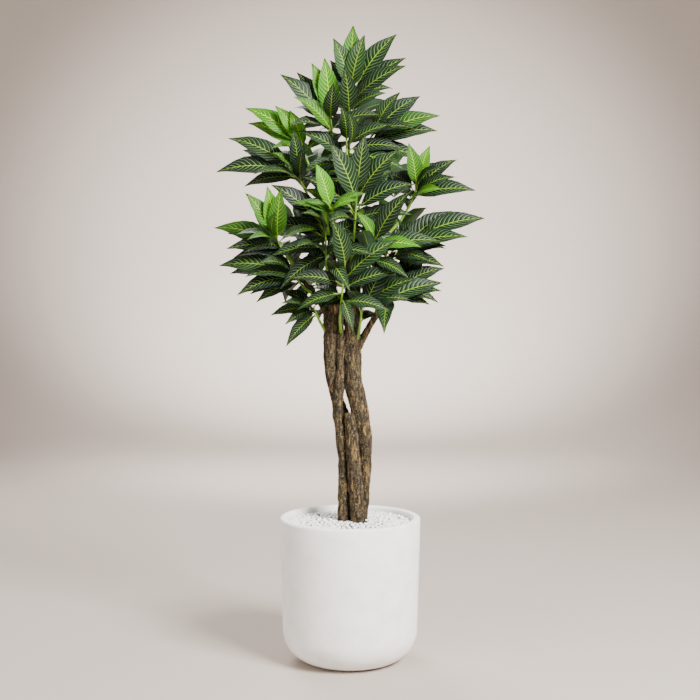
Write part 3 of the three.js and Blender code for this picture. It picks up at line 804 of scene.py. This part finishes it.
def bendLeaf(master, leaf):
    # lays the flat leaf along the midrib curve, with its fold and wavy margin
    width = leaf["width"] * leafShape["widthGain"]
    phase, ripple = chance.uniform(0, math.tau), chance.uniform(0.5, 1.2)
    fold = leafShape["fold"] * chance.uniform(0.7, 1.15)
    twist = chance.uniform(-0.25, 0.25)
    droop = leafShape["droop"] * chance.uniform(0.4, 1.3)
    rows = {}
    points = []
    for vert in master.data.vertices:
        x, y, z = vert.co
        key = round(y, 4)
        if key not in rows:
            share = y if y >= 0 else y / leafShape["petioleSpan"] * -leaf["back"]
            place = leaf["start"] + leaf["first"] * share + leaf["second"] * share * share
            place.z -= droop * max(share, 0) ** 2.5
            along = (leaf["first"] + leaf["second"] * (2 * share)).normalized()
            side = leaf["side"].lerp(leaf["outerSide"], max(0, min(1, (share - 0.38) / 0.34)))
            side = (side - along * side.dot(along)).normalized()
            side.rotate(Matrix.Rotation(twist * (share - 0.4), 3, along))
            rows[key] = (share, place, along, side, side.cross(along))
        share, place, along, side, above = rows[key]
        under = z < -leafShape["thickness"] / 2
        if share <= 0:
            rowHalf = bladeWidth(0) / 2
            across = max(-1, min(1, x / rowHalf))
            radius = leafShape["petioleRadius"]
            rise = radius * math.sqrt(max(0, 1 - across * across)) * (-1 if under else 1)
            points.append(place + side * (across * radius) + above * rise)
            continue
        offset = abs(x) * width
        margin = (2 * abs(x)) ** 2
        lift = fold * offset - 5 * offset * offset + leafShape["wave"] * ripple * margin * math.sin(
            share * 15 + phase + (2 if x > 0 else 0))
        thickness = leafShape["thickness"] * 0.15 if under else 0
        rib = leafShape["ribDepth"] * math.exp(-(x / 0.03) ** 2) * (1 - share) if under else 0
        points.append(place + side * (x * width) + above * (lift - thickness - rib))
    return points


# Fresh leaves, by where their tips are seen from the front (x and z in mm), and how fresh each one is.
freshLeaves = [
    (8, 1604, 0.5), (-48, 1572, 0.15), (48, 1580, 0.12), (-93, 1506, 0.6), (-63, 1514, 0.95), (28, 1486, 0.1),
    (-258, 1400, 0.75), (-184, 1404, 0.95), (-254, 1364, 0.7), (-161, 1394, 0.85), (-104, 1412, 0.4),
    (-189, 1280, 0.35), (-82, 1252, 1.0), (-63, 1158, 0.8), (18, 1162, 0.85), (-255, 1183, 0.45),
    (-197, 1200, 0.85), (-166, 1192, 0.5), (-329, 1128, 0.35), (222, 1385, 0.2), (144, 1312, 0.5),
    (170, 1300, 0.45), (197, 1307, 0.9), (222, 1188, 0.8), (14, 1138, 0.6), (172, 1056, 0.7),
]
freshBack = {"highest": 3, "age": 0.5}
youngShoots = {"left_bright": 0.4, "front_bright": 0.35, "left_young": 0.3}


def setAges(grown):
    for shootName, leaves in grown.items():
        base = youngShoots.get(shootName, 0)
        for leaf in leaves:
            leaf["age"] = base + chance.uniform(0, 0.07)
            leaf["tone"] = chance.random()
        if shootName.startswith("back"):
            for leaf in sorted(leaves, key=lambda leaf: -leaf["tip"].z)[:freshBack["highest"]]:
                leaf["age"] = freshBack["age"] + chance.uniform(-0.2, 0.2)
    seen = [leaf for leaves in grown.values() for leaf in leaves if leaf["tip"].y < 30 * mm]
    for x, z, age in freshLeaves:
        nearest = min(seen, key=lambda leaf: math.hypot(leaf["tip"].x - x * mm, leaf["tip"].z - z * mm))
        nearest["age"] = age


def buildLeaves(shootName, leaves, master):
    mesh = bmesh.new()
    tintLayer = mesh.verts.layers.float_color.new("leafTint")
    for leaf in leaves:
        before = len(mesh.verts)
        mesh.from_mesh(master.data)
        mesh.verts.ensure_lookup_table()
        tint = (leaf["age"], leaf["tone"], 0, 1)
        for vert, place in zip(mesh.verts[before:], bendLeaf(master, leaf)):
            vert.co = place
            vert[tintLayer] = tint
    data = bpy.data.meshes.new("leaves")
    mesh.to_mesh(data)
    mesh.free()
    foliage = bpy.data.objects.new("leaves" + shootName.title().replace("_", ""), data)
    scene.collection.objects.link(foliage)
    makeActive(foliage)
    bpy.ops.object.mode_set(mode="EDIT")
    bpy.ops.mesh.select_all(action="SELECT")
    bpy.ops.mesh.normals_make_consistent(inside=False)
    bpy.ops.object.mode_set(mode="OBJECT")
    bpy.ops.object.shade_smooth()
    bpy.ops.object.mode_set(mode="EDIT")
    bpy.ops.mesh.select_all(action="DESELECT")
    bpy.ops.mesh.edges_select_sharp(sharpness=math.radians(100))
    bpy.ops.mesh.mark_sharp()
    bpy.ops.object.mode_set(mode="OBJECT")
    data.materials.append(finish["leaf"])
    data.materials.append(finish["underside"])
    finishPiece(foliage, None, ["leaves_" + shootName])


stemShape = {"swell": 0.35 * mm, "voxel": 1.5 * mm, "smoothing": 6}


def buildStem(shootName, core):
    stemNode = "stem_" + shootName
    replaced = []
    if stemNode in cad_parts:
        lower = mergedCopy(stemNode, "lowerStem")
        makeActive(core)
        lower.select_set(True)
        bpy.ops.object.join()
        replaced = [stemNode]
    applyModifier(core, "DISPLACE", strength=stemShape["swell"], mid_level=0)
    applyModifier(core, "REMESH", mode="VOXEL", voxel_size=stemShape["voxel"])
    applyModifier(core, "SMOOTH", factor=0.5, iterations=stemShape["smoothing"])
    makeActive(core)
    bpy.ops.object.shade_smooth()
    core.data.materials.clear()
    core.data.materials.append(finish["shoot"])
    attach(core, "root")
    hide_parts(*(replaced or ["leaves_" + shootName]))


cores = {}
grown = {}
for nodeName in sorted(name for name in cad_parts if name.startswith("leaves_")):
    shoot = nodeName[len("leaves_"):]
    cores[shoot] = mergedCopy(nodeName, "stem" + shoot.title().replace("_", ""))
    grown[shoot] = findLeaves(cores[shoot])
setAges(grown)
leafModel = leafMaster()
for shoot, shootLeaves in grown.items():
    buildLeaves(shoot, shootLeaves, leafModel)
    buildStem(shoot, cores[shoot])
bpy.data.objects.remove(leafModel)
print("leaves grown:", sum(len(shootLeaves) for shootLeaves in grown.values()))
